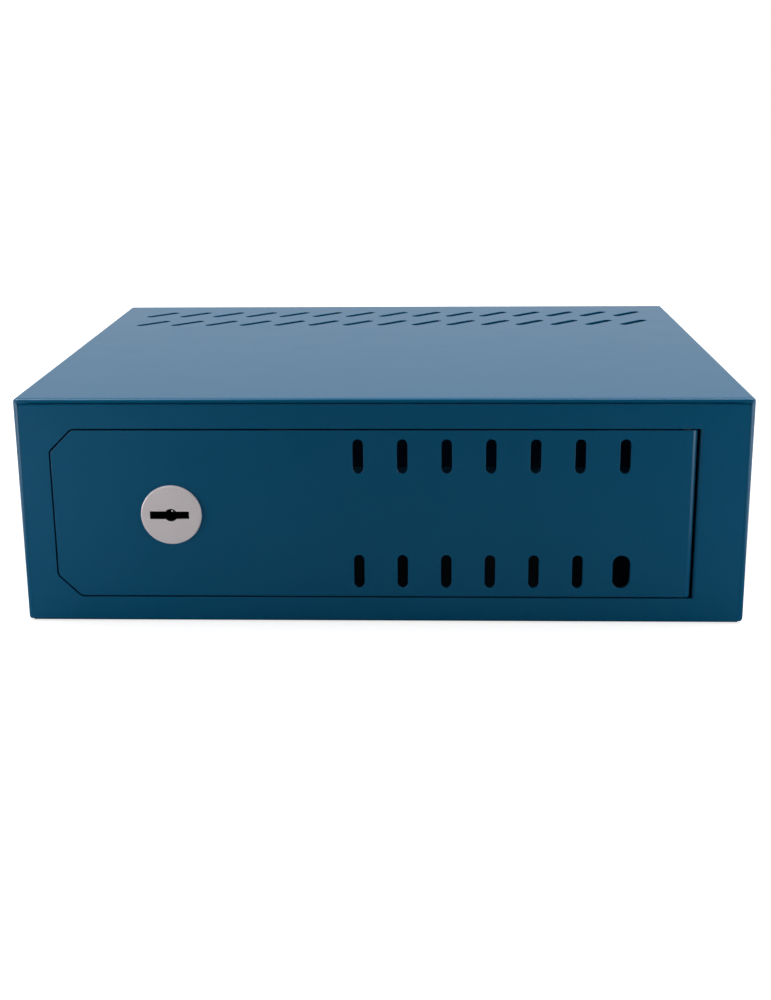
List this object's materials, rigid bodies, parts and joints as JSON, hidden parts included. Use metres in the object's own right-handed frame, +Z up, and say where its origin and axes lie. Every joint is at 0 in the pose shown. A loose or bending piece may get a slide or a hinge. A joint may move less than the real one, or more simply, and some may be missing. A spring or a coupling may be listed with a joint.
{
  "type": "recorder lock box",
  "caption": "Steel lock box for a video recorder: vented wrap over a bent tray, flush slotted door on concealed pins, and a double-bit lever lock.",
  "frame": {"origin": "middle of the footprint, on the surface that the box stands on", "axes": "+X right seen from the front, +Y to the back, +Z up; the door faces -Y"},
  "size_m": [0.415, 0.324, 0.133],
  "materials": {
    "body_paint": "smooth satin paint",
    "door_paint": "smooth satin paint",
    "rosette_metal": "satin nickel",
    "plated_steel": "zinc plated",
    "bright_steel": "polished",
    "lever_brass": "rolled",
    "grommet_rubber": "matte"
  },
  "bodies": {
    "cabinet": {"wrap_cover": "body_paint", "chassis_tray": "body_paint", "hinge_lug_upper": "body_paint", "hinge_lug_lower": "body_paint", "door_stop_upper": "body_paint", "door_stop_lower": "body_paint", "cable_grommet_left": "grommet_rubber", "cable_grommet_right": "grommet_rubber"},
    "door": {"door_panel": "door_paint", "hinge_pin_upper": "plated_steel", "hinge_pin_lower": "plated_steel", "lock_rosette": "rosette_metal", "rosette_clip": "bright_steel", "lock_case": "plated_steel", "lock_cover": "plated_steel", "cover_screws": "plated_steel", "lock_studs": "plated_steel", "lock_washers": "plated_steel", "lock_nuts": "plated_steel", "lever_post": "bright_steel"},
    "key_barrel": {"key_barrel": "lever_brass", "key_spindle": "bright_steel", "crank_pin": "bright_steel"},
    "bolt": {"bolt": "plated_steel", "bolt_stump": "bright_steel"},
    "lever_1": {"lever_1": "lever_brass", "lever_spring_1": "bright_steel"},
    "lever_2": {"lever_2": "lever_brass", "lever_spring_2": "bright_steel"},
    "lever_3": {"lever_3": "lever_brass", "lever_spring_3": "bright_steel"}
  },
  "joints": [
    {"name": "door_swing", "type": "hinge", "parent": "cabinet", "child": "door", "pos_m": [0.1713, -0.1545, 0.06522], "axis": [0, 0, 1], "range_deg": [0, 100]},
    {"name": "key_turn", "type": "hinge", "parent": "door", "child": "key_barrel", "pos_m": [-0.1204, -0.15, 0.06522], "axis": [0, -1, 0], "range_deg": [0, 180]},
    {"name": "bolt_slide", "type": "slide", "parent": "door", "child": "bolt", "axis": [-1, 0, 0], "range_m": [0, 0.014]},
    {"name": "lever_lift_1", "type": "hinge", "parent": "door", "child": "lever_1", "pos_m": [-0.0934, -0.15, 0.06522], "axis": [0, -1, 0], "range_deg": [0, 4]},
    {"name": "lever_lift_2", "type": "hinge", "parent": "door", "child": "lever_2", "pos_m": [-0.0934, -0.15, 0.06522], "axis": [0, -1, 0], "range_deg": [0, 4]},
    {"name": "lever_lift_3", "type": "hinge", "parent": "door", "child": "lever_3", "pos_m": [-0.0934, -0.15, 0.06522], "axis": [0, -1, 0], "range_deg": [0, 4]}
  ],
  "couplings": [
    {"joint": "key_turn", "follows": "bolt_slide", "rad_per_m": 224.4}
  ]
}
